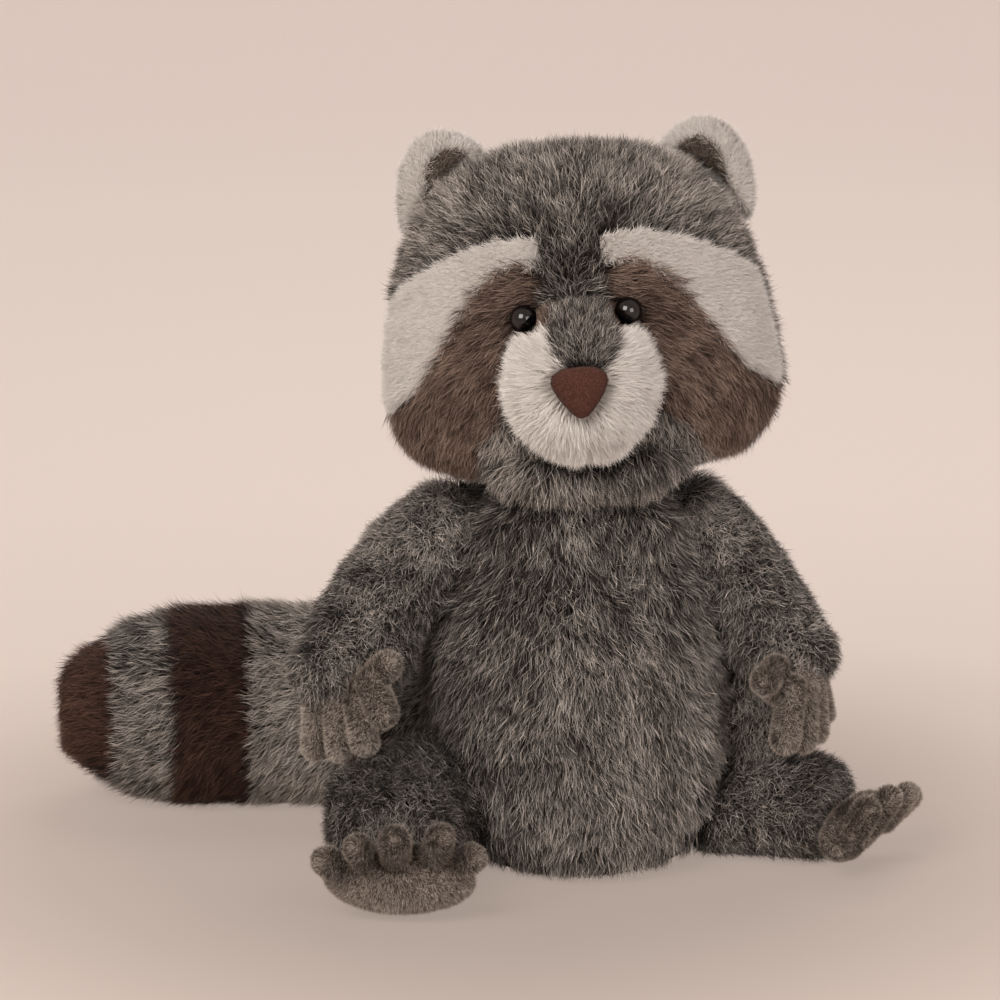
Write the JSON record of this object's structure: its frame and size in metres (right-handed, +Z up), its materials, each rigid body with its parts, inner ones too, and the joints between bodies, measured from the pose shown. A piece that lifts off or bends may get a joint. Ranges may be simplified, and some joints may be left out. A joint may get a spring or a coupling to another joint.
{
  "type": "plush raccoon",
  "caption": "Stuffed toy raccoon sitting upright, with long grey-brown pile, a white-browed brown mask, a pale round muzzle, taupe hands and feet and a banded tail lying to one side.",
  "frame": {"origin": "Middle of the flat patch under the body that the toy sits on, on the floor plane.", "axes": "+Z up, the face and belly look along -Y, the toy's own left is +X, and the tail leaves the back and lies along -X."},
  "size_m": [0.3176, 0.2198, 0.262],
  "materials": {
    "grey_plush": "long grey-brown pile, matte",
    "white_plush": "dense off-white pile, matte",
    "brown_plush": "long brown pile, matte",
    "dark_brown_plush": "long dark brown pile, matte",
    "paw_velboa": "short taupe velboa, matte",
    "ear_lining": "short dark brown pile, matte",
    "nose_suede": "brown synthetic suede, matte",
    "eye_plastic": "gloss",
    "washer_plastic": "matte"
  },
  "bodies": {
    "root": {"arm_left": "grey_plush", "arm_right": "grey_plush", "body": "grey_plush", "brow_patch_left": "white_plush", "brow_patch_right": "white_plush", "cheek_patch_left": "brown_plush", "cheek_patch_right": "brown_plush", "chin_ruff": "grey_plush", "ear_left": "white_plush", "ear_lining_left": "ear_lining", "ear_lining_right": "ear_lining", "ear_right": "white_plush", "eye_left": "eye_plastic", "eye_right": "eye_plastic", "eye_washer_left": "washer_plastic", "eye_washer_right": "washer_plastic", "foot_left": "paw_velboa", "foot_right": "paw_velboa", "hand_left": "paw_velboa", "hand_right": "paw_velboa", "head": "grey_plush", "leg_left": "grey_plush", "leg_right": "grey_plush", "muzzle": "white_plush", "muzzle_bridge": "grey_plush", "nose": "nose_suede", "tail_brown_band_1": "dark_brown_plush", "tail_brown_band_3": "dark_brown_plush", "tail_brown_band_5": "dark_brown_plush", "tail_grey_band_2": "grey_plush", "tail_grey_band_4": "grey_plush", "tail_grey_band_6": "grey_plush", "tail_tip": "dark_brown_plush"}
  },
  "joints": []
}
